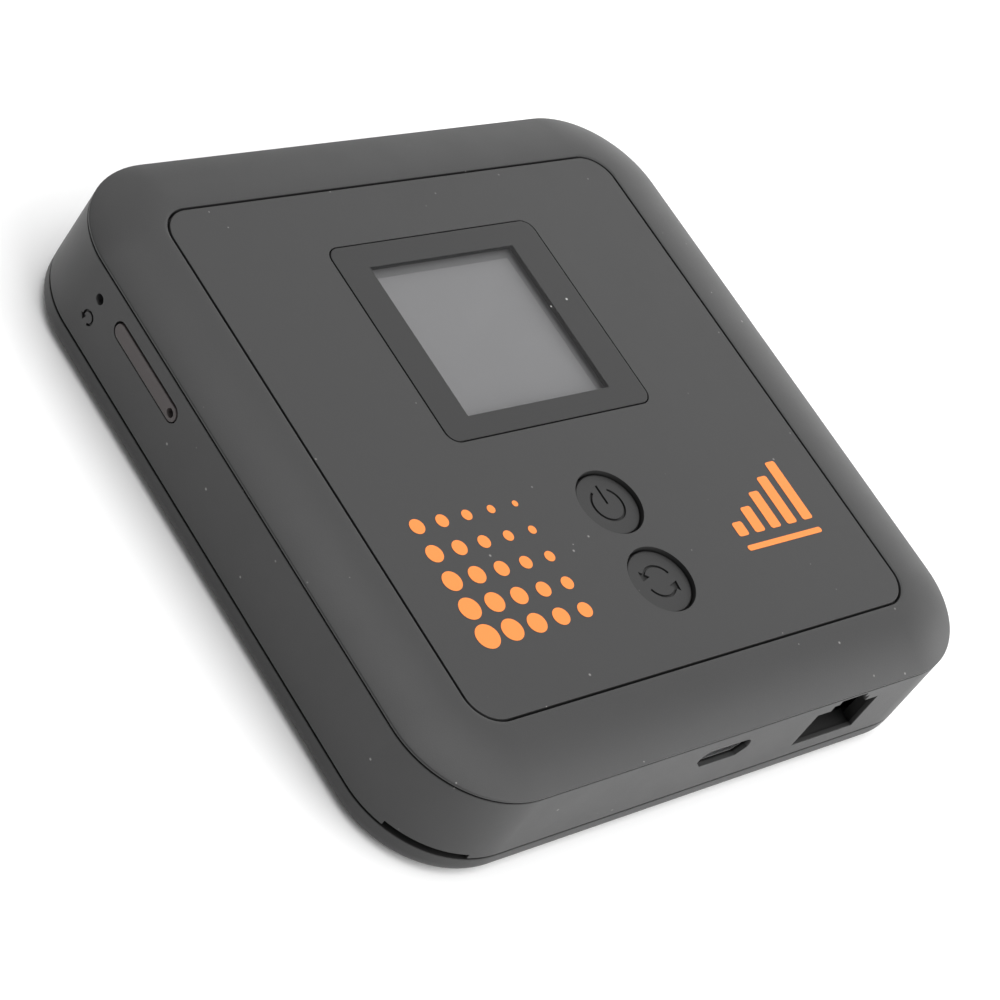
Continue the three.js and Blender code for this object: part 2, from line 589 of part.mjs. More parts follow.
function usbShell() {
  const top = BOARD_TOP + USB_SHELL.h;
  const { w, wall, length } = USB_SHELL;
  const bar = (width, low, high) => {
    const half = width / 2;
    const shape = new THREE.Shape();
    shape.moveTo(USB.x - half + 1, low);
    shape.lineTo(USB.x + half - 1, low);
    shape.lineTo(USB.x + half, low + 1);
    shape.lineTo(USB.x + half, high);
    shape.lineTo(USB.x - half, high);
    shape.lineTo(USB.x - half, low + 1);
    shape.closePath();
    return shape;
  };
  const outer = frontPrism(bar(w, BOARD_TOP, top), USB_FRONT, USB_FRONT + length);
  const hollow = bar(w - wall * 2, BOARD_TOP + wall, top - wall);
  const inner = frontPrism(hollow, USB_FRONT - 1, USB_FRONT + length - 0.6);
  return cut(outer, inner);
}

function usbTongue() {
  const high = BOARD_TOP + USB_SHELL.h - USB_SHELL.wall - 0.15;
  const back = USB_FRONT + USB_SHELL.length - 0.6;
  return centredBox(
    USB.x, back - USB_TONGUE.length / 2, USB_TONGUE.w, USB_TONGUE.length, high - USB_TONGUE.h, high,
  );
}

// ---- SIM tray and its ejector ----
function simTray() {
  const face = sidePrism(stadium(SIM.w, SIM.h, SIM.y, PORT_Z), TRAY_FACE, TRAY_BACK);
  const blade = box(
    TRAY_BACK - 0.2, BLADE_END, BLADE.y - BLADE.w / 2, BLADE.y + BLADE.w / 2,
    PORT_Z - BLADE.thick / 2, PORT_Z + BLADE.thick / 2,
  );
  const pinHole = rodX(EJECT_HOLE, TRAY_FACE - 1, TRAY_BACK + 1, EJECT_Y, PORT_Z);
  const pocket = box(
    CARD_X0 - CARD.gap, CARD_X0 + CARD.length + CARD.gap,
    BLADE.y - CARD.w / 2 - CARD.gap, BLADE.y + CARD.w / 2 + CARD.gap,
    PORT_Z - BLADE.thick / 2 + BLADE.floor, PORT_Z + 1,
  );
  return cut(join(face, blade), pinHole, pocket);
}

const CARD_X0 = TRAY_BACK + (BLADE.length - CARD.length) / 2;

function simCard() {
  const low = PORT_Z - BLADE.thick / 2 + BLADE.floor;
  return box(
    CARD_X0, CARD_X0 + CARD.length, BLADE.y - CARD.w / 2, BLADE.y + CARD.w / 2, low, low + CARD.thick,
  );
}

const SOCKET_X0 = -INNER_HALF + GAP;
const SOCKET_Y0 = SIM.y - SIM_SOCKET.w / 2;

function simSocketBase() {
  const plate = box(
    SOCKET_X0, SOCKET_X0 + SIM_SOCKET.length, SOCKET_Y0 + SIM_SOCKET.sheet,
    SOCKET_Y0 + SIM_SOCKET.w - SIM_SOCKET.sheet, BOARD_TOP, BOARD_TOP + SIM_SOCKET.base,
  );
  const pin = disc(LEVER.pin, LEVER_X, LEVER.pivot_y, BOARD_TOP, PORT_Z + LEVER.thick / 2);
  return join(plate, pin);
}

function simSocketCover() {
  const high = PORT_Z + BLADE.thick / 2 + GAP;
  const [x0, x1] = [SOCKET_X0, SOCKET_X0 + SIM_SOCKET.length];
  const outer = box(x0, x1, SOCKET_Y0, SOCKET_Y0 + SIM_SOCKET.w, BOARD_TOP, high + SIM_SOCKET.sheet);
  const inner = box(
    x0 - 1, x1 + 1, SOCKET_Y0 + SIM_SOCKET.sheet, SOCKET_Y0 + SIM_SOCKET.w - SIM_SOCKET.sheet,
    BOARD_TOP - 1, high,
  );
  return cut(outer, inner);
}

const ROD_END = LEVER_X - LEVER.w / 2 - GAP;
const ejectorRod = () => rodX(ROD.d, ROD_END - ROD.length, ROD_END, EJECT_Y, PORT_Z);

function ejectorLever() {
  const [low, high] = [PORT_Z - LEVER.thick / 2, PORT_Z + LEVER.thick / 2];
  const y0 = EJECT_Y - 0.5;
  const y1 = LEVER.pivot_y + LEVER.tip;
  const arm = centredBox(LEVER_X, (y0 + y1) / 2, LEVER.w, y1 - y0, low, high);
  const hub = disc(LEVER.boss, LEVER_X, LEVER.pivot_y, low, high);
  return cut(join(arm, hub), disc(LEVER.hole, LEVER_X, LEVER.pivot_y, low - 1, high + 1));
}

// ---- reset switch ----
const RESET_X0 = -INNER_HALF + GAP;
const RESET_FACE = RESET_X0 + RESET.length - RESET_ENGAGE;

function resetSwitch() {
  const body = box(
    RESET_FACE, RESET_FACE + RESET.body_x, RESET.y - RESET.body_y / 2, RESET.y + RESET.body_y / 2,
    BOARD_TOP, BOARD_TOP + RESET.body_h,
  );
  const boreEnd = RESET_FACE + RESET_ENGAGE + 0.6;
  return cut(body, rodX(RESET.plunger + GAP * 2, RESET_FACE - 1, boreEnd, RESET.y, PORT_Z));
}

const resetPlunger = () => rodX(RESET.plunger, RESET_X0, RESET_X0 + RESET.length, RESET.y, PORT_Z);

// ---- power, antennas and screws ----
function batteryPack() {
  return prism(
    roundedRect(BATTERY.w, BATTERY.d, BATTERY.r, BATTERY.x, BATTERY.y),
    COVER_FLOOR, COVER_FLOOR + BATTERY.thick, 5,
  );
}

const TERMINAL_X0 = BATTERY.x + BATTERY.w / 2 + 0.4;

function batteryTerminal() {
  return box(
    TERMINAL_X0, TERMINAL_X0 + TERMINAL.w, TERMINAL.y - TERMINAL.d / 2, TERMINAL.y + TERMINAL.d / 2,
    BOARD_Z - TERMINAL.drop, BOARD_Z,
  );
}

function batterySpring(i) {
  const y = TERMINAL.y + (i - (TERMINAL.springs - 1) / 2) * TERMINAL.pitch;
  const low = BOARD_Z - TERMINAL.drop + 0.6;
  return centredBox(TERMINAL_X0 - 0.2, y, 0.4, TERMINAL.spring_w, low, low + TERMINAL.spring_h);
}

const mainAntenna = () => centredBox(
  0, INNER_HALF - ANTENNA.thick / 2, MAIN_ANTENNA_W, ANTENNA.thick, ANTENNA.z, ANTENNA.z + ANTENNA.h,
);
const wifiAntenna = () => centredBox(
  INNER_HALF - ANTENNA.thick / 2, 0, ANTENNA.thick, WIFI_ANTENNA_W, ANTENNA.z, ANTENNA.z + ANTENNA.h,
);

function caseScrew(sx, sy) {
  const [x, y] = [BOSS_AT * sx, BOSS_AT * sy];
  const head = disc(SCREW.head, x, y, BOARD_Z - SCREW.head_h, BOARD_Z);
  const shank = disc(SCREW.shank, x, y, BOARD_Z - 0.2, BOARD_Z + SCREW.length);
  const low = BOARD_Z - SCREW.head_h;
  const slots = [[SCREW.drive, 0.45], [0.45, SCREW.drive]].map(([w, d]) => (
    centredBox(x, y, w, d, low - 1, low + SCREW.drive_depth)
  ));
  return cut(join(head, shank), ...slots);
}

// ---- assembly ----
const hotspot = new THREE.Group();
hotspot.name = 'mobile_hotspot';

function add(name, body, material) {
  const mesh = new THREE.Mesh(geometryOf(body), material);
  mesh.name = name;
  hotspot.add(mesh);
}

add('front_bezel', frontBezel(), SOFT_BLACK());
add('side_frame', sideFrame(), SOFT_BLACK());
add('back_cover', backCover(), SOFT_BLACK());
add('front_panel', frontPanel(), PANEL_BLACK());
add('panel_adhesive', panelAdhesive(), DEEP_BLACK());
add('display_lens', displayLens(), CLEAR());
add('lens_border', lensBorder(), GLOSS_BLACK());
add('lcd_frame', lcdFrame(), LCD_GREY());
add('lcd_glass', lcdGlass(), LCD_GREY());
add('lcd_backlight', lcdBacklight(), CREAM());
add('lcd_flex', lcdFlex(), AMBER());
add('display_bracket', displayBracket(), DEEP_BLACK());
add('power_button', buttonCap(POWER_Y), PANEL_BLACK());
add('pairing_button', buttonCap(PAIRING_Y), PANEL_BLACK());
add('power_switch_stem', switchStem(POWER_Y), CREAM());
add('pairing_switch_stem', switchStem(PAIRING_Y), CREAM());
add('power_switch', tactSwitch(POWER_Y), STEEL());
add('pairing_switch', tactSwitch(PAIRING_Y), STEEL());
add('button_board', buttonBoard(), BOARD_GREEN());
add('board_connector', boardConnector(), DEEP_BLACK());
add('main_board', mainBoard(), BOARD_GREEN());
SHIELD_CANS.forEach((can) => add(can.name, shieldCan(can), STEEL()));
CHIPS.forEach((c) => add(c.name, chip(c), DEEP_BLACK()));
add('ethernet_transformer', chip(TRANSFORMER), DEEP_BLACK());
add('ethernet_jack_housing', jackHousing(), DEEP_BLACK());
add('ethernet_jack_shield', jackShield(), STEEL());
contactPlaces().forEach((x, i) => add(`ethernet_contact_${i + 1}`, jackContact(x), GOLD()));
add('usb_shell', usbShell(), STEEL());
add('usb_tongue', usbTongue(), DEEP_BLACK());
add('sim_tray', simTray(), TAUPE());
add('sim_card', simCard(), CREAM());
add('sim_socket_base', simSocketBase(), DEEP_BLACK());
add('sim_socket_cover', simSocketCover(), STEEL());
add('sim_ejector_rod', ejectorRod(), STEEL());
add('sim_ejector_lever', ejectorLever(), STEEL());
add('reset_switch', resetSwitch(), DEEP_BLACK());
add('reset_plunger', resetPlunger(), CREAM());
add('battery_pack', batteryPack(), SILVER_FOIL());
add('battery_terminal', batteryTerminal(), DEEP_BLACK());
Array.from({ length: TERMINAL.springs }, (_, i) => add(`battery_spring_${i + 1}`, batterySpring(i), GOLD()));
add('main_antenna', mainAntenna(), AMBER());
add('wifi_antenna', wifiAntenna(), AMBER());
CORNERS.forEach(([sx, sy], i) => add(`case_screw_${i + 1}`, caseScrew(sx, sy), STEEL()));

export default hotspot;
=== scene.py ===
"""A pocket mobile hotspot: smooth shells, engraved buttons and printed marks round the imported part."""

import json
import math

import bmesh
import bpy
from mathutils import Matrix, Vector


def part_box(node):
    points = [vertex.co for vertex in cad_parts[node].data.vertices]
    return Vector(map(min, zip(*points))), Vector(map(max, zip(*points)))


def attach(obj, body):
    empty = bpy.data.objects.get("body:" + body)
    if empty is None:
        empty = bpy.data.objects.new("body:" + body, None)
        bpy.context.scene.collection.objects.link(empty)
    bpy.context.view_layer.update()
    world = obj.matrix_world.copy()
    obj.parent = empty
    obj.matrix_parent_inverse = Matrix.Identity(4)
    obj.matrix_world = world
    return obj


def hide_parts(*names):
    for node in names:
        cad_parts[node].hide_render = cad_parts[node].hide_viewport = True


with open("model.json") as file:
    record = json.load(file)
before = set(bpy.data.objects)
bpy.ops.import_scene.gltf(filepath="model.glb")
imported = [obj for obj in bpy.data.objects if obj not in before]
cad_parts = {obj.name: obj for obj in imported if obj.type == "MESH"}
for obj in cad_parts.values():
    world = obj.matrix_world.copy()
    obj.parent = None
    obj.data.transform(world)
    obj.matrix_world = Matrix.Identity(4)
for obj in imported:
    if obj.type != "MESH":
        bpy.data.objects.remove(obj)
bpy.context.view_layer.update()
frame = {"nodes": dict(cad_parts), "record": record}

# ---- sizes, in millimetres; the shells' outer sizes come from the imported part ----
MM = 0.001


def box_mm(node):
    return [[value / MM for value in corner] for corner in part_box(node)]


def middle(node):
    low, high = box_mm(node)
    return [(a + b) / 2 for a, b in zip(low, high)]


RIM_HALF = box_mm("front_bezel")[1][0]
SEAM_HALF = box_mm("back_cover")[1][0]
HEIGHT = box_mm("front_bezel")[1][2]
SKIRT_LOW = box_mm("front_bezel")[0][2]
FRAME_LOW = box_mm("side_frame")[0][2]
FRAME_TOP = box_mm("side_frame")[1][2]
COVER_LIP_TOP = box_mm("back_cover")[1][2]
PANEL_LOW = box_mm("front_panel")[0][2]
PANEL_HALF = box_mm("front_panel")[1][0]
PANEL_GAP = 0.3
TAPE = 0.15
DOME_DROP = 2.4
RIM_LIP = 0.3
CORNER_R = 13.9
SEAM_GAP = 0.3
LEVEL_ERROR = 0.005             # heights closer than this are the same level
COVER_ROUND = 2.3
COVER_FLOOR = 1.4
WALL = 1.85
SKIRT_SET_IN = 1.0
SKIRT_WALL = 1.2
SHELF = 2.8
SHELF_THICK = 1.5
RIB_WALL = 0.7
RIB_HEIGHT = 1.0
FIT = 0.15
LIP_WALL = 1.0
EDGE = 0.14                     # soft edge of a moulded shell
FINE_EDGE = 0.08                # soft edge of a small opening

POCKET_HALF = PANEL_HALF + PANEL_GAP
INNER_HALF = RIM_HALF - WALL
BEZEL_LOW = HEIGHT - DOME_DROP - RIM_LIP
COVER_TOP = FRAME_LOW - SEAM_GAP
SHELF_TOP = PANEL_LOW - TAPE

JACK_MIDDLE = middle("ethernet_jack_housing")[0]
JACK_LOW = 6.35
JACK_STEPS = ((5.95, 6.5), (3.4, 1.05), (2.5, 0.8))     # half width and rise of each step
USB = {"x": middle("usb_shell")[0], "low": 9.4, "half": 4.6, "high": 3.25, "round": 1.5, "chamfer": 1.3}
PORT_Z = middle("sim_ejector_rod")[2]
RESET_Y = middle("reset_plunger")[1]
RESET_HOLE = 1.4
EJECT_Y = middle("sim_ejector_rod")[1]
EJECT_HOLE = 1.2
TRAY_GAP = 0.2
TRAY_SAG = 0.13                 # the drawer rests low in its slot
NOTCH = {"from": 206, "to": 252, "rise": 0.8, "depth": 1.1}
BUTTON_HOLE = 9.9
CAP_R = 4.7
CAP_ROUND = 0.22
FLANGE_THICK = 0.9
FLANGE_EDGE = 0.1
LENS_GAP = 0.15
LENS_R = 1.8
LENS_EDGE = 0.15

SMOOTH_ANGLE = math.radians(32)
CORNER_STEPS = 22
ROUND_STEPS = 72


def wall_half(z):
    """The wall leans out evenly from the rim down to the seam."""
    seam_z = FRAME_LOW - SEAM_GAP / 2
    return RIM_HALF + (SEAM_HALF - RIM_HALF) * (BEZEL_LOW - z) / (BEZEL_LOW - seam_z)


# ---- mesh making ----
def new_piece(name, build, material=None):
    """build fills a bmesh in millimetres."""
    mesh = bpy.data.meshes.new(name)
    work = bmesh.new()
    build(work)
    bmesh.ops.recalc_face_normals(work, faces=work.faces)
    work.to_mesh(mesh)
    work.free()
    if material:
        mesh.materials.append(material)
    piece = bpy.data.objects.new(name, mesh)
    bpy.context.scene.collection.objects.link(piece)
    return piece


def loft(name, rings, material=None, loop=False):
    """Skins rings that have the same number of points: a closed loop of rings, or two capped ends."""
    def build(work):
        rows = [[work.verts.new(point) for point in ring] for ring in rings]
        pairs = list(zip(rows, rows[1:]))
        if loop:
            pairs.append((rows[-1], rows[0]))
        for lower, upper in pairs:
            for i in range(len(lower)):
                j = (i + 1) % len(lower)
                work.faces.new((lower[i], lower[j], upper[j], upper[i]))
        if not loop:
            work.faces.new(rows[0][::-1])
            work.faces.new(rows[-1])
    return new_piece(name, build, material)


def rounded_ring(half_x, half_y, radius, z, x=0.0, y=0.0, steps=CORNER_STEPS):
    points = []
    for quarter, (sx, sy) in enumerate(((1, 1), (-1, 1), (-1, -1), (1, -1))):
        for step in range(steps + 1):
            angle = math.radians(90 * (quarter + step / steps))
            across = sx * (half_x - radius) + radius * math.cos(angle)
            along = sy * (half_y - radius) + radius * math.sin(angle)
            points.append((x + across, y + along, z))
    return points


def shell_ring(half, z):
    """A ring parallel to the body's outline."""
    return rounded_ring(half, half, max(CORNER_R - (RIM_HALF - half), 1.2), z)


def round_ring(radius, z, x, y, steps=ROUND_STEPS):
    turns = [math.tau * step / steps for step in range(steps)]
    return [(x + radius * math.cos(turn), y + radius * math.sin(turn), z) for turn in turns]


def fillet(centre, radius, start, end, steps=4):
    """Points (half, z) round an edge, from angle start to angle end in degrees."""
    angles = [math.radians(start + (end - start) * step / steps) for step in range(steps + 1)]
    return [(centre[0] + radius * math.cos(a), centre[1] + radius * math.sin(a)) for a in angles]


def bake(piece):
    evaluated = piece.evaluated_get(bpy.context.evaluated_depsgraph_get())
    mesh = bpy.data.meshes.new_from_object(evaluated)
    piece.modifiers.clear()
    piece.data = mesh


def carve(piece, cutters, operation="DIFFERENCE"):
    for cutter in cutters:
        cut = piece.modifiers.new("cut", "BOOLEAN")
        cut.operation = operation
        cut.solver = "EXACT"
        cut.material_mode = "TRANSFER"
        cut.object = cutter
        bake(piece)
        bpy.data.objects.remove(cutter)


def shade_gap(piece, low, high):
    """Faces that lie wholly between two heights are inside a seam, where little light reaches: they take
    the near-black material as painted shade.
    """
    mesh = piece.data
    if mesh.materials.find(DARK_FILL_AND_PAINTED_SHADE.name) < 0:
        mesh.materials.append(DARK_FILL_AND_PAINTED_SHADE)
    dark = mesh.materials.find(DARK_FILL_AND_PAINTED_SHADE.name)
    for face in mesh.polygons:
        heights = [mesh.vertices[i].co.z for i in face.vertices]
        if min(heights) > low - LEVEL_ERROR and max(heights) < high + LEVEL_ERROR:
            face.material_index = dark


def finish(piece, body, nodes):
    """Scales a piece to metres, smooths its curved faces, attaches it to its body and hides the imported
    parts it stands for.
    """
    piece.data.transform(Matrix.Scale(MM, 4))
    piece.data.shade_smooth()
    piece.data.set_sharp_from_angle(angle=SMOOTH_ANGLE)
    weighted = piece.modifiers.new("flat faces stay flat", "WEIGHTED_NORMAL")
    weighted.keep_sharp = True
    bake(piece)
    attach(piece, body)
    if nodes:
        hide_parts(*nodes)
    return piece


def grown(outline, amount):
    """The outline, drawn anticlockwise, moved outwards by amount with mitred corners."""
    moved = []
    count = len(outline)
    for i in range(count):
        before, here, after = (Vector(outline[(i + k) % count]) for k in (-1, 0, 1))
        first = (here - before).normalized()
        second = (after - here).normalized()
        normal = Vector((first.y + second.y, -first.x - second.x)).normalized()
        spread = max(normal.dot(Vector((first.y, -first.x))), 0.4)
        moved.append(tuple(here + normal * amount / spread))
    return moved


def at_front(u, z, depth):
    return (u, depth - wall_half(z), z)


def at_left(u, z, depth):
    return (depth - wall_half(z), -u, z)


def at_top(u, v, depth):
    return (u, v, HEIGHT - depth)


def opening(outline, place, depth, edge=FINE_EDGE, ink=None):
    """A cutter that leaves a small soft edge round the mouth of a hole. When ink is given, the hole's
    walls take that material: the dark of engraved strokes, and painted shade in the button holes.
    """
    sections = ((edge, -1.0), (edge, 0.0), (edge * 0.35, edge * 0.35), (0.0, edge), (0.0, depth))
    rings = [[place(u, v, down) for u, v in grown(outline, grow)] for grow, down in sections]
    return loft("cutter", rings, ink)


def relief(outline, place, depth):
    """Widens a hole behind its thin outer edge; the widened walls take the near-black material as painted
    shade.
    """
    rings = [[place(u, v, down) for u, v in grown(outline, 0.3)] for down in (0.6, depth)]
    return loft("cutter", rings, DARK_FILL_AND_PAINTED_SHADE)


def prism(outline, low, high):
    return loft("cutter", [[(x, y, z) for x, y in outline] for z in (low, high)])


def circle(radius, x, y, steps=ROUND_STEPS):
    return [point[:2] for point in round_ring(radius, 0, x, y, steps)]


def stadium(length, height, u, v, steps=16):
    radius = height / 2
    reach = length / 2 - radius
    points = []
    for side, start in ((1, -90), (-1, 90)):
        for step in range(steps + 1):
            angle = math.radians(start + 180 * step / steps)
            points.append((u + side * reach + radius * math.cos(angle), v + radius * math.sin(angle)))
    return points


def jack_outline():
    right = []
    low = JACK_LOW
    for half, rise in JACK_STEPS:
        right += [(half, low), (half, low + rise)]
        low += rise
    left = [(-x, z) for x, z in reversed(right)]
    return [(JACK_MIDDLE + x, z) for x, z in right + left]


def usb_outline(steps=8):
    half, high, low = USB["half"], USB["low"] + USB["high"], USB["low"]
    points = [(-half + USB["chamfer"], low), (half - USB["chamfer"], low), (half, low + USB["chamfer"])]
    for side, start in ((1, 0), (-1, 90)):
        for step in range(steps + 1):
            angle = math.radians(start + 90 * step / steps)
            points.append((
                side * (half - USB["round"]) + USB["round"] * math.cos(angle),
                high - USB["round"] + USB["round"] * math.sin(angle),
            ))
    points.append((-half, low + USB["chamfer"]))
    return [(USB["x"] + x, z) for x, z in points]


def band(radius, width, start, end, x=0.0, y=0.0, steps=40):
    """A curved stroke from angle start to angle end in degrees, drawn anticlockwise."""
    angles = [math.radians(start + (end - start) * step / steps) for step in range(steps + 1)]
    far, near = radius + width / 2, radius - width / 2
    outer = [(x + far * math.cos(a), y + far * math.sin(a)) for a in angles]
    inner = [(x + near * math.cos(a), y + near * math.sin(a)) for a in reversed(angles)]
    return outer + inner


def arrow_head(radius, angle, size, x=0.0, y=0.0):
    """A triangle that ends an anticlockwise stroke at the given angle."""
    a = math.radians(angle)
    out = Vector((math.cos(a), math.sin(a)))
    ahead = Vector((-math.sin(a), math.cos(a)))
    centre = Vector((x, y)) + out * radius
    return [tuple(centre - out * size), tuple(centre + out * size), tuple(centre + ahead * size * 1.5)]


def engraved(outlines, place, depth):
    return [opening(outline, place, depth, 0.03, DARK_FILL_AND_PAINTED_SHADE) for outline in outlines]


# ---- shader making ----
class Wire:
    """A socket that takes arithmetic: an expression on wires adds its Math nodes."""

    def __init__(self, paint, socket):
        self.paint = paint
        self.socket = socket

    def math(self, operation, *values):
        return self.paint.node("ShaderNodeMath", {"operation": operation}, values)

    def __add__(self, other):
        return self.math("ADD", self, other)

    __radd__ = __add__

    def __sub__(self, other):
        return self.math("SUBTRACT", self, other)

    def __rsub__(self, other):
        return self.math("SUBTRACT", other, self)

    def __mul__(self, other):
        return self.math("MULTIPLY", self, other)

    __rmul__ = __mul__

    def over(self, edge):
        return self.math("GREATER_THAN", self, edge)

    def under(self, edge):
        return self.math("LESS_THAN", self, edge)

    def size(self):
        return self.math("ABSOLUTE", self)

    def clamped(self):
        return self.paint.node("ShaderNodeClamp", {}, (self, 0.0, 1.0))

    def ramp(self, low, high, to_low=0.0, to_high=1.0):
        return self.paint.node("ShaderNodeMapRange", {}, (self, low, high, to_low, to_high))


class Paint:
    """A material being made. Every node comes from node(); surface() sets the shader's own sockets."""

    def __init__(self, name):
        self.material = bpy.data.materials.new(name)
        self.material.use_nodes = True
        self.tree = self.material.node_tree
        self.shader = self.tree.nodes["Principled BSDF"]
        self.place = self.node("ShaderNodeTexCoord", {}, {}, "Object")

    def node(self, kind, settings, inputs, output=0):
        made = self.tree.nodes.new(kind)
        for name, value in settings.items():
            setattr(made, name, value)
        pairs = inputs.items() if isinstance(inputs, dict) else enumerate(inputs)
        for key, value in pairs:
            self.feed(made.inputs[key], value)
        return Wire(self, made.outputs[output])

    def feed(self, socket, value):
        if isinstance(value, Wire):
            self.tree.links.new(value.socket, socket)
        else:
            socket.default_value = value

    def noise(self, scale, detail=2.0, roughness=0.5):
        inputs = {"Vector": self.place, "Scale": scale, "Detail": detail, "Roughness": roughness}
        return self.node("ShaderNodeTexNoise", {}, inputs, "Fac")

    def cells(self, scale, output="Distance"):
        inputs = {"Vector": self.place, "Scale": scale}
        return self.node("ShaderNodeTexVoronoi", {}, inputs, output)

    def axes(self):
        return [self.node("ShaderNodeSeparateXYZ", {}, {"Vector": self.place}, axis) for axis in "XYZ"]

    def mix(self, amount, low, high):
        """A colour between two colours; a plain colour is three numbers."""
        low, high = (c if isinstance(c, Wire) else (*c, 1.0) for c in (low, high))
        settings = {"data_type": "RGBA", "clamp_factor": True}
        return self.node("ShaderNodeMix", settings, {0: amount, 6: low, 7: high}, 2)

    def grey(self, colour, amount):
        """The colour, lighter or darker by a wire that is about 1."""
        return self.node("ShaderNodeVectorMath", {"operation": "SCALE"}, {0: colour, "Scale": amount})

    def bump(self, height, distance, strength=1.0):
        inputs = {"Height": height, "Distance": distance, "Strength": strength}
        return self.node("ShaderNodeBump", {}, inputs, "Normal")

    def surface(self, **sockets):
        for name, value in sockets.items():
            if isinstance(value, tuple) and len(value) == 3:
                value = (*value, 1.0)
            self.feed(self.shader.inputs[name.replace("_", " ")], value)
        return self.material


INK_COLOUR = (0.010, 0.010, 0.0102)


def specks(paint, scale, share, radius):
    """Sparse dust: a small dot in a few of the cells, as a mask."""
    near = paint.cells(scale).ramp(radius * 0.4, radius, 1.0, 0.0)
    lot = paint.node("ShaderNodeSeparateXYZ", {}, {"Vector": paint.cells(scale, "Color")}, "X")
    return near * lot.over(1.0 - share)


def moulded(name, colour, roughness, grain=0.000012, grain_scale=5200, dust=0.5, **extra):
    """Moulded plastic: a spark-eroded grain, slow tone changes, worn patches and a little dust."""
    paint = Paint(name)
    fine = paint.noise(grain_scale, detail=3.0, roughness=0.6)
    broad = paint.noise(38, detail=3.0)
    smudge = paint.noise(120, detail=4.0, roughness=0.65)
    tone = 0.955 + 0.07 * broad + 0.045 * fine
    dusty = (specks(paint, 310, 0.2, 0.07) + specks(paint, 730, 0.05, 0.1)) * dust
    colour_out = paint.mix(dusty, paint.grey(colour, tone), (0.36, 0.35, 0.34))
    return paint.surface(
        Base_Color=colour_out,
        Roughness=roughness - 0.05 + 0.10 * smudge + 0.04 * fine,
        Normal=paint.bump(fine, grain),
        **extra,
    )


CLEAR_AT = (0.00005, 0.0139)    # middle and half size of the lens's clear window, in metres
CLEAR_HALF = (0.01275, 0.01225)


def clear_lens():
    """Acrylic over the display: smoky and clear in the middle, inked dark at the edge, with some dust."""
    paint = Paint("clear_lens")
    haze = paint.noise(160, detail=4.0, roughness=0.7)
    dusty = specks(paint, 310, 0.22, 0.07)
    x, y, _ = paint.axes()
    across = (x - CLEAR_AT[0]).size().under(CLEAR_HALF[0])
    clear = across * (y - CLEAR_AT[1]).size().under(CLEAR_HALF[1])
    smoke = paint.mix(clear, INK_COLOUR, (0.05, 0.05, 0.051))
    paint.material.surface_render_method = "BLENDED"
    return paint.surface(
        Base_Color=paint.mix(dusty * 0.7, paint.grey(smoke, 0.94 + 0.12 * haze), (0.6, 0.6, 0.59)),
        Roughness=0.40 + 0.10 * haze - 0.22 * clear,
        Alpha=(1.0 - clear * (0.80 - 0.03 * haze) + dusty).clamped(),
        IOR=1.49,
    )


def lcd_surface():
    """An unlit display: a pale cell area with a darker inactive margin and a fine cell pattern."""
    paint = Paint("lcd_surface")
    x, y, _ = paint.axes()
    centre = [value * MM for value in middle("lcd_glass")]
    inside_x = (x - (centre[0] - 0.0007)).size().under(0.0120)
    inside_y = (y - (centre[1] - 0.0006)).size().under(0.0115)
    cells = paint.cells(9000)
    tone = 0.97 + 0.06 * paint.noise(90) + 0.03 * cells
    pale = paint.grey((0.335, 0.335, 0.342), tone)
    margin = paint.grey((0.215, 0.215, 0.219), tone)
    return paint.surface(
        Base_Color=paint.mix(inside_x * inside_y, margin, pale),
        Roughness=0.30 + 0.08 * paint.noise(700),
        Normal=paint.bump(cells, 0.000003),
    )


def printed_ink(name, colour, roughness=0.45, weave_height=0.000004):
    """Screen-printed ink: a faint mesh texture and slightly uneven cover."""
    paint = Paint(name)
    weave = paint.cells(6500)
    cover = paint.noise(900, detail=3.0)
    return paint.surface(
        Base_Color=paint.grey(colour, 0.95 + 0.06 * cover + 0.03 * weave),
        Roughness=roughness + 0.12 * cover,
        Normal=paint.bump(weave, weave_height),
    )


def metal(name, colour, roughness, brushed=0.0, spots=0.0):
    """Plated or tinned sheet: a fine drawn grain, dull spots and handling marks."""
    paint = Paint(name)
    along_x = {"Vector": paint.place, "Scale": (1.0, 14.0, 14.0)}
    stretch = paint.node("ShaderNodeMapping", {}, along_x, "Vector")
    drawn = paint.node("ShaderNodeTexNoise", {}, {"Vector": stretch, "Scale": 700, "Detail": 3.0}, "Fac")
    dull = paint.noise(420, detail=4.0, roughness=0.65)
    tone = 0.92 + 0.10 * drawn + 0.06 * dull
    return paint.surface(
        Base_Color=paint.mix((dull - 0.62) * spots * 4.0, paint.grey(colour, tone), (0.18, 0.17, 0.16)),
        Metallic=1.0,
        Roughness=roughness + 0.18 * dull + brushed * drawn,
        Normal=paint.bump(drawn, 0.000006),
    )


def circuit_board():
    """Green solder mask over copper tracks, with tinned pads and vias."""
    paint = Paint("circuit_board")
    tracks = paint.node("ShaderNodeTexBrick", {"offset": 0.37, "squash": 1.0},
                        {"Vector": paint.place, "Scale": 260, "Mortar Size": 0.05, "Mortar Smooth": 0.1,
                         "Brick Width": 1.9, "Row Height": 0.32}, "Fac")
    vias = paint.cells(420).under(0.13)
    copper = paint.mix(tracks, (0.018, 0.085, 0.045), (0.035, 0.16, 0.075))
    tinned = paint.mix(vias, copper, (0.62, 0.60, 0.50))
    return paint.surface(
        Base_Color=tinned,
        Metallic=0.9 * vias,
        Roughness=0.38 + 0.10 * paint.noise(300),
        Normal=paint.bump(tracks + vias, 0.00002),
    )


def battery_wrap():
    """Silver-grey film round a cell, slightly creased."""
    paint = Paint("battery_wrap")
    crease = paint.noise(95, detail=5.0, roughness=0.62)
    grain = paint.noise(2600)
    return paint.surface(
        Base_Color=paint.grey((0.34, 0.35, 0.37), 0.93 + 0.10 * crease + 0.04 * grain),
        Metallic=0.35,
        Roughness=0.36 + 0.16 * crease,
        Normal=paint.bump(crease, 0.00012),
    )


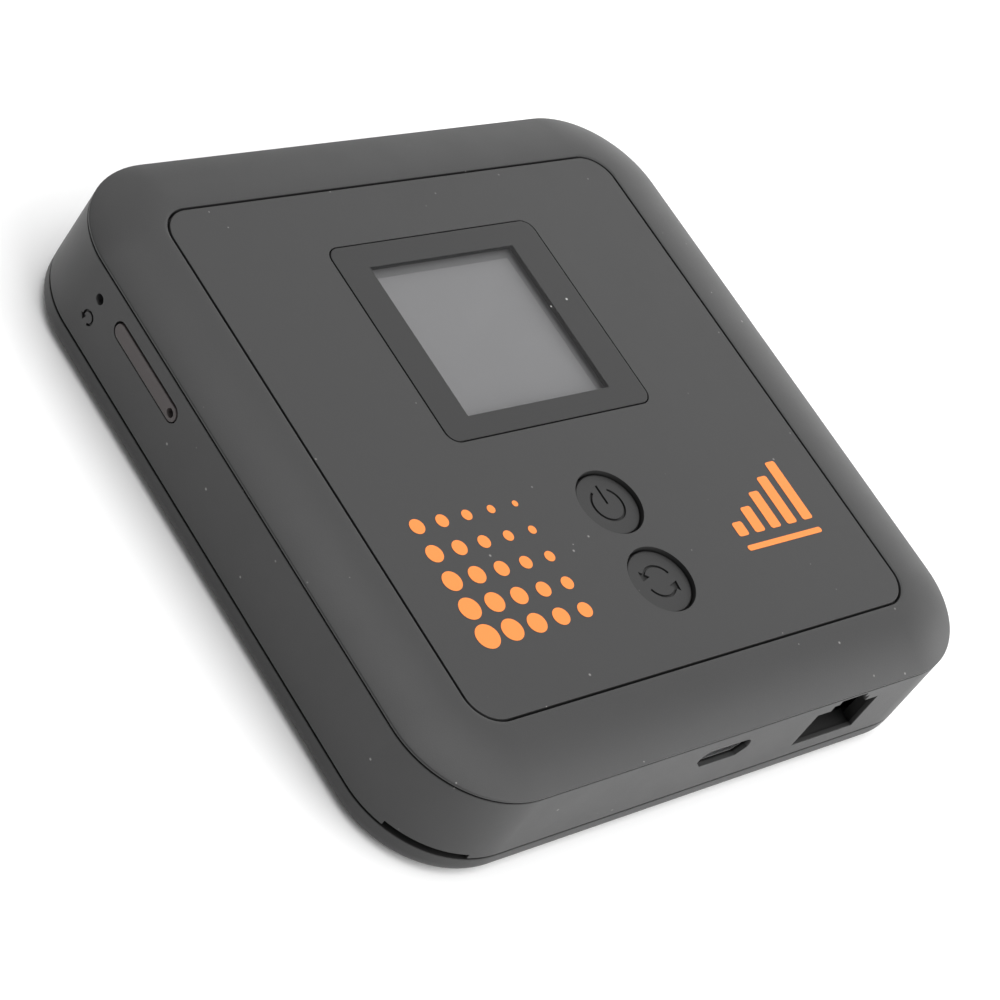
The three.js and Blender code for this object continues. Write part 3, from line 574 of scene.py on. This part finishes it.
SHELL_COLOUR = (0.020, 0.020, 0.0202)
MATERIALS = {
    "soft_touch_shell": moulded("soft_touch_shell", SHELL_COLOUR, 0.46),
    "front_panel_plastic": moulded("front_panel_plastic", SHELL_COLOUR, 0.44, grain=0.000008),
    "button_plastic": moulded("button_plastic", (0.008, 0.008, 0.0082), 0.48, grain=0.000008, dust=0.2),
    "tray_plastic": moulded("tray_plastic", (0.052, 0.043, 0.043), 0.55, dust=0.15),
    "black_moulding": moulded("black_moulding", (0.012, 0.012, 0.012), 0.5, dust=0.0),
    "jack_plastic": moulded("jack_plastic", (0.004, 0.004, 0.0042), 0.38, 0.000004, dust=0.0,
                            Specular_IOR_Level=0.2),
    "chip_epoxy": moulded("chip_epoxy", (0.014, 0.014, 0.015), 0.55, grain_scale=7000, dust=0.0),
    "lcd_moulding": moulded("lcd_moulding", (0.20, 0.20, 0.205), 0.5, dust=0.0),
    "diffuser_white": moulded("diffuser_white", (0.68, 0.68, 0.66), 0.45, dust=0.0),
    "switch_white": moulded("switch_white", (0.72, 0.70, 0.64), 0.42, dust=0.0),
    "sim_plastic": moulded("sim_plastic", (0.74, 0.74, 0.72), 0.4, dust=0.0),
    "adhesive_film": moulded("adhesive_film", (0.01, 0.01, 0.01), 0.8, grain=0.00002, dust=0.0),
    "printed_black": printed_ink("printed_black", INK_COLOUR, 0.35, 0.000001),
    "flex_amber": printed_ink("flex_amber", (0.36, 0.15, 0.035), 0.3),
    "clear_lens": clear_lens(),
    "lcd_surface": lcd_surface(),
    "circuit_board": circuit_board(),
    "battery_wrap": battery_wrap(),
    "tinned_can": metal("tinned_can", (0.62, 0.63, 0.64), 0.24, spots=0.5),
    "switch_steel": metal("switch_steel", (0.60, 0.60, 0.60), 0.26),
    "usb_steel": metal("usb_steel", (0.55, 0.55, 0.56), 0.22, brushed=0.05),
    "screw_steel": metal("screw_steel", (0.16, 0.16, 0.165), 0.3),
    "gold_plate": metal("gold_plate", (0.83, 0.60, 0.25), 0.2),
}
ORANGE_INK = printed_ink("orange_ink", (0.80, 0.22, 0.035))
# A near-black moulding for the walls of engraved strokes, and painted shade on faces inside seams and on
# the walls of holes.
DARK_FILL_AND_PAINTED_SHADE = moulded("dark_fill_and_painted_shade", (0.006, 0.006, 0.006), 0.6, dust=0.0)


# ---- the three shells ----
def crown_height(half):
    """The bezel's crown is one arc, level at the panel's pocket."""
    run = RIM_HALF - POCKET_HALF
    radius = (run ** 2 + DOME_DROP ** 2) / (2 * DOME_DROP)
    across = half - POCKET_HALF
    return HEIGHT - (radius - math.sqrt(radius ** 2 - across ** 2))


def front_bezel():
    steps = 26
    first, last = POCKET_HALF + EDGE, RIM_HALF - EDGE
    crown = [first + (last - first) * step / steps for step in range(steps + 1)]
    skirt = RIM_HALF - SKIRT_SET_IN
    profile = [(POCKET_HALF, HEIGHT - EDGE), (POCKET_HALF + EDGE * 0.3, HEIGHT - EDGE * 0.3)]
    profile += [(half, crown_height(half)) for half in crown]
    rim_z = crown_height(RIM_HALF)
    profile += [(RIM_HALF - EDGE * 0.3, rim_z + EDGE * 0.08), (RIM_HALF, rim_z - EDGE * 0.5)]
    profile += fillet((RIM_HALF - FINE_EDGE, BEZEL_LOW + FINE_EDGE), FINE_EDGE, 0, -90, 3)
    profile += [(skirt, BEZEL_LOW), (skirt, SKIRT_LOW), (skirt - SKIRT_WALL, SKIRT_LOW)]
    shelf_low, shelf_half = SHELF_TOP - SHELF_THICK, POCKET_HALF - SHELF
    profile += [(skirt - SKIRT_WALL, shelf_low), (shelf_half, shelf_low)]
    profile += [(shelf_half, SHELF_TOP), (POCKET_HALF, SHELF_TOP)]
    rings = [shell_ring(half, z) for half, z in profile]
    piece = loft("bezel_shell", rings, MATERIALS["soft_touch_shell"], loop=True)
    room = JACK_STEPS[1][0] + PANEL_GAP
    latch_top = JACK_LOW + sum(rise for _, rise in JACK_STEPS) + PANEL_GAP
    outline = [(JACK_MIDDLE - room, -RIM_HALF + 0.8), (JACK_MIDDLE + room, -RIM_HALF + 0.8)]
    behind = -RIM_HALF + SKIRT_SET_IN + SKIRT_WALL + 0.2
    outline += [(JACK_MIDDLE + room, behind), (JACK_MIDDLE - room, behind)]
    carve(piece, [prism(outline, SKIRT_LOW - 1, latch_top)])
    shade_gap(piece, SKIRT_LOW, BEZEL_LOW)
    return finish(piece, "housing", ["front_bezel"])


def pry_notch():
    reach = RIM_HALF - CORNER_R
    middle_radius = CORNER_R + (SEAM_HALF - RIM_HALF) - NOTCH["depth"] / 2 + 0.5
    outline = band(middle_radius, NOTCH["depth"] + 1.0, NOTCH["from"], NOTCH["to"], -reach, -reach)
    return prism(outline, FRAME_LOW - 1, FRAME_LOW + NOTCH["rise"])


def reset_mark():
    """A small circling arrow under the reset hole."""
    at = (-RESET_Y, 8.0)
    return [band(0.9, 0.3, -70, 195, *at, steps=24), arrow_head(0.9, 195, 0.5, *at)]


def side_frame():
    rib_low = COVER_LIP_TOP
    recess = RIM_HALF - SKIRT_SET_IN + FIT
    top_half, low_half = wall_half(FRAME_TOP), wall_half(FRAME_LOW)
    profile = [(top_half - EDGE, FRAME_TOP), (top_half - EDGE * 0.3, FRAME_TOP - EDGE * 0.3)]
    profile += [(top_half, FRAME_TOP - EDGE), (low_half, FRAME_LOW + EDGE)]
    profile += [(low_half - EDGE * 0.3, FRAME_LOW + EDGE * 0.3), (low_half - EDGE, FRAME_LOW)]
    profile += [(INNER_HALF, FRAME_LOW), (INNER_HALF, rib_low), (INNER_HALF - RIB_WALL, rib_low)]
    profile += [(INNER_HALF - RIB_WALL, rib_low + RIB_HEIGHT), (INNER_HALF, rib_low + RIB_HEIGHT)]
    profile += [(INNER_HALF, SKIRT_LOW), (recess, SKIRT_LOW), (recess, FRAME_TOP)]
    rings = [shell_ring(half, z) for half, z in profile]
    piece = loft("frame_shell", rings, MATERIALS["soft_touch_shell"], loop=True)
    through = WALL + RIB_WALL + 1.0
    low, high = box_mm("sim_tray")
    length, height = high[1] - low[1] + TRAY_GAP * 2, high[2] - low[2] + TRAY_GAP * 2
    tray_slot = stadium(length, height, -middle("sim_tray")[1], PORT_Z + TRAY_SAG)
    cutters = [
        opening(jack_outline(), at_front, through),
        opening(usb_outline(), at_front, through),
        relief(jack_outline(), at_front, through),
        relief(usb_outline(), at_front, through),
        opening(tray_slot, at_left, through),
        opening(circle(RESET_HOLE / 2, -RESET_Y, PORT_Z, 32), at_left, through),
        pry_notch(),
    ]
    carve(piece, cutters)
    carve(piece, engraved(reset_mark(), at_left, ENGRAVED_DEPTH))
    shade_gap(piece, FRAME_LOW, FRAME_LOW)
    shade_gap(piece, FRAME_TOP, FRAME_TOP)
    return finish(piece, "housing", ["side_frame"])


def back_cover():
    lip = INNER_HALF - FIT
    profile = [(lip - LIP_WALL, COVER_FLOOR), (lip - LIP_WALL, COVER_LIP_TOP), (lip, COVER_LIP_TOP)]
    profile += [(lip, COVER_TOP), (SEAM_HALF - EDGE, COVER_TOP)]
    profile += [(SEAM_HALF - EDGE * 0.3, COVER_TOP - EDGE * 0.3), (SEAM_HALF, COVER_TOP - EDGE)]
    profile += fillet((SEAM_HALF - COVER_ROUND, COVER_ROUND), COVER_ROUND, 0, -90, 14)
    rings = [shell_ring(half, z) for half, z in profile]
    for half_x, half_y, z in ((28.0, 17.0, 0.0), (27.8, 16.8, 0.2)):
        rings.append(rounded_ring(half_x, half_y, 2.0, z))
    piece = loft("cover_shell", rings, MATERIALS["soft_touch_shell"])
    shade_gap(piece, COVER_TOP, COVER_LIP_TOP)
    return finish(piece, "housing", ["back_cover"])


# ---- front panel, lens, buttons and printed marks ----
def plate(name, material, half_x, half_y, radius, low, high, x, y, edge):
    rings = [rounded_ring(half_x - edge * 0.5, half_y - edge * 0.5, radius, low, x, y)]
    rings.append(rounded_ring(half_x, half_y, radius, low + edge * 0.5, x, y))
    rings.append(rounded_ring(half_x, half_y, radius, high - edge, x, y))
    rings.append(rounded_ring(half_x - edge * 0.3, half_y - edge * 0.3, radius, high - edge * 0.3, x, y))
    rings.append(rounded_ring(half_x - edge, half_y - edge, radius - edge * 0.5, high, x, y))
    return loft(name, rings, material)


def front_panel():
    radius = CORNER_R - (RIM_HALF - PANEL_HALF)
    plastic = MATERIALS["front_panel_plastic"]
    piece = plate("panel_plate", plastic, PANEL_HALF, PANEL_HALF, radius, PANEL_LOW, HEIGHT, 0, 0, EDGE)
    low, high = box_mm("display_lens")
    lens = rounded_ring(
        (high[0] - low[0]) / 2 + LENS_GAP, (high[1] - low[1]) / 2 + LENS_GAP, LENS_R + LENS_GAP, 0,
        *middle("display_lens")[:2], steps=12,
    )
    through = HEIGHT - PANEL_LOW + 1
    cutters = [opening([point[:2] for point in lens], at_top, through)]
    for key in ("power_button", "pairing_button"):
        hole = circle(BUTTON_HOLE / 2, *middle(key)[:2], 96)
        # The button holes' walls take the near-black material: painted shade in the gap round each button.
        cutters.append(opening(hole, at_top, through, 0.05, DARK_FILL_AND_PAINTED_SHADE))
    carve(piece, cutters)
    return finish(piece, "housing", ["front_panel"])


def display_lens():
    low, high = box_mm("display_lens")
    x, y, _ = middle("display_lens")
    half_x, half_y = (high[0] - low[0]) / 2, (high[1] - low[1]) / 2
    acrylic = MATERIALS["clear_lens"]
    piece = plate("lens_slab", acrylic, half_x, half_y, LENS_R, low[2], high[2], x, y, LENS_EDGE)
    return finish(piece, "housing", ["display_lens"])


STROKE = 0.34                   # width of an engraved line
ENGRAVED_DEPTH = 0.3


def power_mark(x, y):
    half = STROKE / 2
    bar = [(x - half, y + 0.1), (x + half, y + 0.1), (x + half, y + 3.0), (x - half, y + 3.0)]
    return [band(2.45, STROKE, 122, 418, x, y), bar]


def pairing_mark(x, y):
    """Two arrows that chase each other round a ring."""
    marks = []
    for turn in (0, 180):
        marks.append(band(2.3, STROKE, turn + 20, turn + 142, x, y, steps=24))
        marks.append(arrow_head(2.3, turn + 140, 0.85, x, y))
    return marks


def push_button(name, node, body, marks):
    low, high = box_mm(node)
    x, y, _ = middle(node)
    flange = (high[0] - low[0]) / 2
    top, flange_top = high[2], low[2] + FLANGE_THICK
    profile = [(flange - FLANGE_EDGE, low[2]), (flange, low[2] + FLANGE_EDGE)]
    profile += [(flange, flange_top - FLANGE_EDGE), (flange - FLANGE_EDGE, flange_top)]
    profile += [(CAP_R, flange_top)]
    profile += fillet((CAP_R - CAP_ROUND, top - CAP_ROUND), CAP_ROUND, 0, 90, 5)
    rings = [round_ring(radius, z, x, y, 96) for radius, z in profile]
    piece = loft(name, rings, MATERIALS["button_plastic"])

    def on_cap(u, v, depth):
        return (u, v, top - depth)
    carve(piece, engraved(marks(x, y), on_cap, ENGRAVED_DEPTH))
    return finish(piece, body, [node])


def fading_dots_tree():
    """A field of printed dots that shrink to the right: every size is an input."""
    tree = bpy.data.node_groups.new("fading dots", "GeometryNodeTree")
    sizes = {"Columns": "Int", "Rows": "Int", "Pitch": "Float", "Largest": "Float", "Smallest": "Float"}
    for name, kind in sizes.items():
        tree.interface.new_socket(name, in_out="INPUT", socket_type=f"NodeSocket{kind}")
    tree.interface.new_socket("Centre", in_out="INPUT", socket_type="NodeSocketVector")
    tree.interface.new_socket("Thickness", in_out="INPUT", socket_type="NodeSocketFloat")
    tree.interface.new_socket("Ink", in_out="INPUT", socket_type="NodeSocketMaterial")
    tree.interface.new_socket("Geometry", in_out="OUTPUT", socket_type="NodeSocketGeometry")

    def node(kind, settings=(), **inputs):
        made = tree.nodes.new(kind)
        for name, value in dict(settings).items():
            setattr(made, name, value)
        for name, value in inputs.items():
            socket = made.inputs[name.replace("_", " ")]
            if isinstance(value, bpy.types.NodeSocket):
                tree.links.new(value, socket)
            else:
                socket.default_value = value
        return made

    def times(first, second, operation="MULTIPLY"):
        made = tree.nodes.new("ShaderNodeMath")
        made.operation = operation
        for socket, value in zip(made.inputs, (first, second)):
            if isinstance(value, bpy.types.NodeSocket):
                tree.links.new(value, socket)
            else:
                socket.default_value = value
        return made.outputs[0]

    given = node("NodeGroupInput").outputs
    width = times(times(given["Columns"], 1.0, "SUBTRACT"), given["Pitch"])
    depth = times(times(given["Rows"], 1.0, "SUBTRACT"), given["Pitch"])
    grid = node("GeometryNodeMeshGrid", Size_X=width, Size_Y=depth,
                Vertices_X=given["Columns"], Vertices_Y=given["Rows"])
    place = node("ShaderNodeSeparateXYZ", Vector=node("GeometryNodeInputPosition").outputs[0])
    fade = times(place.outputs["X"], place.outputs["Y"], "ADD")
    span = times(width, depth, "ADD")
    reach = times(span, 0.5)
    radius = node("ShaderNodeMapRange", Value=fade, From_Min=times(reach, -1.0), From_Max=reach,
                  To_Min=given["Largest"], To_Max=given["Smallest"]).outputs[0]
    scale = node("ShaderNodeCombineXYZ", X=radius, Y=radius, Z=given["Thickness"])
    disc = node("GeometryNodeMeshCylinder", Vertices=28, Radius=1.0, Depth=1.0)
    dots = node("GeometryNodeInstanceOnPoints", Points=grid.outputs["Mesh"], Instance=disc.outputs["Mesh"],
                Scale=scale.outputs[0])
    moved = node("GeometryNodeTransform", Geometry=dots.outputs[0], Translation=given["Centre"])
    solid = node("GeometryNodeRealizeInstances", Geometry=moved.outputs[0])
    inked = node("GeometryNodeSetMaterial", Geometry=solid.outputs[0], Material=given["Ink"])
    tree.links.new(inked.outputs[0], node("NodeGroupOutput").inputs[0])
    return tree


INK_THICK = 0.03


def printed_dots():
    tree = fading_dots_tree()
    piece = new_piece("printed_dots", lambda work: None)
    field = piece.modifiers.new("dots", "NODES")
    field.node_group = tree
    values = {
        "Columns": 5, "Rows": 5, "Pitch": 4.1, "Largest": 1.75, "Smallest": 0.45,
        "Centre": (-22.5, -20.1, HEIGHT + INK_THICK / 2), "Thickness": INK_THICK, "Ink": ORANGE_INK,
    }
    for item in tree.interface.items_tree:
        if item.in_out == "INPUT":
            field[item.identifier] = values[item.name]
    bake(piece)
    return finish(piece, "housing", [])


def printed_bars():
    """Five bars that rise like a signal meter, over a thin rule."""
    count, pitch, half = 5, 3.15, 0.95
    first, low = 18.4, -24.2
    rings = []
    for bar in range(count):
        high = low + 2.2 + 1.85 * bar
        rings.append((first + pitch * bar, (low + high) / 2, half, (high - low) / 2))
    rings.append((first + pitch * (count - 1) / 2, low - 1.9, pitch * (count - 1) / 2 + half, 0.42))

    def build(work):
        for x, y, half_x, half_y in rings:
            levels = (HEIGHT, HEIGHT + INK_THICK)
            edges = [rounded_ring(half_x, half_y, 0.4, z, x, y, steps=6) for z in levels]
            rows = [[work.verts.new(point) for point in edge] for edge in edges]
            for i in range(len(rows[0])):
                j = (i + 1) % len(rows[0])
                work.faces.new((rows[0][i], rows[0][j], rows[1][j], rows[1][i]))
            work.faces.new(rows[0][::-1])
            work.faces.new(rows[1])
    piece = new_piece("printed_bars", build, ORANGE_INK)
    return finish(piece, "housing", [])


# ---- SIM tray ----
def block(low, high, edge=0.1):
    half_x, half_y = (high[0] - low[0]) / 2, (high[1] - low[1]) / 2
    x, y = (high[0] + low[0]) / 2, (high[1] + low[1]) / 2
    rings = [rounded_ring(half_x - inset, half_y - inset, 0.35, z, x, y, steps=4)
             for inset, z in ((edge, low[2]), (0, low[2] + edge), (0, high[2] - edge), (edge, high[2]))]
    return loft("block", rings, MATERIALS["tray_plastic"])


def sim_tray():
    low, high = box_mm("sim_tray")
    card_low, card_high = box_mm("sim_card")
    length, height = high[1] - low[1], high[2] - low[2]
    outline = stadium(length, height, -middle("sim_tray")[1], PORT_Z)
    face_back = 1.4
    sections = ((-0.14, 0.0), (-0.04, 0.04), (0.0, 0.14), (0.0, face_back - 0.1), (-0.1, face_back))
    front = low[0]
    rings = [[(front + down, -u, z) for u, z in grown(outline, grow)] for grow, down in sections]
    piece = loft("tray_drawer", rings, MATERIALS["tray_plastic"])
    blade_y = (card_low[1] + card_high[1]) / 2
    blade_low = (front + face_back - 0.3, blade_y - 5.5, PORT_Z - 0.5)
    blade = block(blade_low, (high[0], blade_y + 5.5, PORT_Z + 0.5))
    carve(piece, [blade], "UNION")
    room = 0.1
    pocket_low = (card_low[0] - room, card_low[1] - room, card_low[2])
    pocket = block(pocket_low, (card_high[0] + room, card_high[1] + room, PORT_Z + 2))

    def on_face(u, z, depth):
        return (front + depth, -u, z)
    pin_hole = opening(circle(EJECT_HOLE / 2, -EJECT_Y, PORT_Z, 32), on_face, face_back + 0.5)
    carve(piece, [pocket, pin_hole])
    return finish(piece, "sim_carrier", ["sim_tray"])


# ---- stage ----
CAMERA_AT = (-0.27177, -0.14219, 0.26106)
LOOK_AZIMUTH = -62.82           # degrees round from looking along +Y
LOOK_DOWN = 40.23
ROLL = -38.32
LENS_MM = 110.57
SENSOR_MM = 36.0


def add_camera():
    azimuth, down, roll = (math.radians(angle) for angle in (-LOOK_AZIMUTH, LOOK_DOWN, ROLL))
    level = math.cos(down)
    forward = Vector((math.sin(azimuth) * level, math.cos(azimuth) * level, -math.sin(down)))
    level_right = forward.cross(Vector((0, 0, 1))).normalized()
    level_up = level_right.cross(forward)
    up = level_up * math.cos(roll) + level_right * math.sin(roll)
    right = forward.cross(up)
    camera = bpy.data.cameras.new("camera")
    camera.lens = LENS_MM
    camera.sensor_width = SENSOR_MM
    rig = bpy.data.objects.new("camera", camera)
    turn = Matrix((right, up, -forward)).transposed().to_4x4()
    rig.matrix_world = Matrix.Translation(CAMERA_AT) @ turn
    bpy.context.scene.collection.objects.link(rig)
    bpy.context.scene.camera = rig


# name, place, what it aims at, side in metres, watts
LIGHTS = (
    ("overhead", (0.0, 0.05, 0.9), (0, 0, 0), 0.8, 5.8),
    ("front_softbox", (0.25, -0.9, 0.62), (0, -0.1, 0), 1.3, 13.0),
    ("right_softbox", (0.9, 0.5, 0.35), (0, 0, 0), 0.8, 2.8),
    ("back_softbox", (0.2, 0.95, 0.6), (0, 0, 0), 0.6, 1.5),
    ("low_softbox", (1.1, -0.35, 0.4), (0.02, -0.04, 0.01), 0.7, 5.0),
)


def add_light(name, at, aim, size, power):
    data = bpy.data.lights.new(name, "AREA")
    data.size = size
    data.energy = power
    light = bpy.data.objects.new(name, data)
    direction = Vector(aim) - Vector(at)
    light.matrix_world = Matrix.Translation(at) @ direction.to_track_quat("-Z", "Y").to_matrix().to_4x4()
    bpy.context.scene.collection.objects.link(light)


def add_stage():
    def square(work):
        bmesh.ops.create_grid(work, x_segments=1, y_segments=1, size=2.0)
    floor = new_piece("floor", square)
    paint = Paint("floor_white")
    floor.data.materials.append(paint.surface(
        Base_Color=paint.grey((0.93, 0.93, 0.93), 0.99 + 0.02 * paint.noise(6)), Roughness=0.9,
    ))
    world = bpy.data.worlds.new("studio")
    bpy.context.scene.world = world
    world.use_nodes = True
    world.node_tree.nodes["Background"].inputs["Color"].default_value = (1, 1, 1, 1)
    world.node_tree.nodes["Background"].inputs["Strength"].default_value = 0.35
    for light in LIGHTS:
        add_light(*light)
    bpy.context.scene.view_settings.view_transform = "Standard"


# ---- everything ----
add_camera()
add_stage()
for row in frame["record"]["subparts"]:
    part = frame["nodes"][row["node"]]
    part.data.materials.clear()
    part.data.materials.append(MATERIALS[row["material_slot"]])
front_bezel()
side_frame()
back_cover()
front_panel()
display_lens()
push_button("power_cap", "power_button", "power_key", power_mark)
push_button("pairing_cap", "pairing_button", "pairing_key", pairing_mark)
printed_dots()
printed_bars()
sim_tray()
